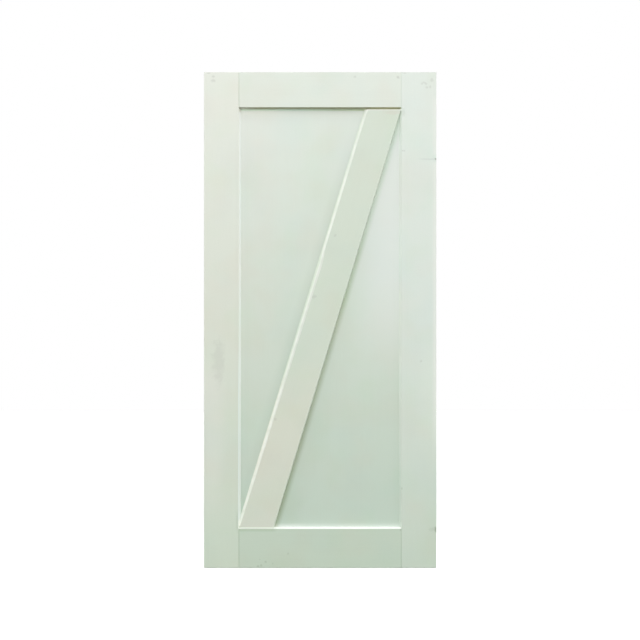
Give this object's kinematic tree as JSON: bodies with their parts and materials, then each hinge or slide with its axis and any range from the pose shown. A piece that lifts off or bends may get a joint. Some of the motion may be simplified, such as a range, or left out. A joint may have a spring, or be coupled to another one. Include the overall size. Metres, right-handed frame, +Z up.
{
  "type": "framed and braced door leaf",
  "caption": "Pale green painted door leaf: a stile-and-rail frame with splayed inner edges around a flat recessed panel, with a diagonal brace from the foot of the hinge side to the opposite top corner.",
  "frame": {"origin": "on the flat outer edge of the left stile, the hinge edge, at mid thickness and at the foot of the leaf", "axes": "+Z up along the stiles, +X across the leaf from the hinge edge to the latch edge, the front face looks towards -Y"},
  "size_m": [0.965, 0.035, 2.057],
  "materials": {
    "frame_paint": "satin pale green paint on timber boards",
    "panel_paint": "satin pale green paint on a flat sheet",
    "brace_paint": "satin pale green paint, a little warmer, on a timber board"
  },
  "bodies": {
    "root": {"left_stile": "frame_paint", "right_stile": "frame_paint", "top_rail": "frame_paint", "bottom_rail": "frame_paint", "panel": "panel_paint", "front_brace": "brace_paint", "back_brace": "brace_paint"}
  },
  "joints": []
}
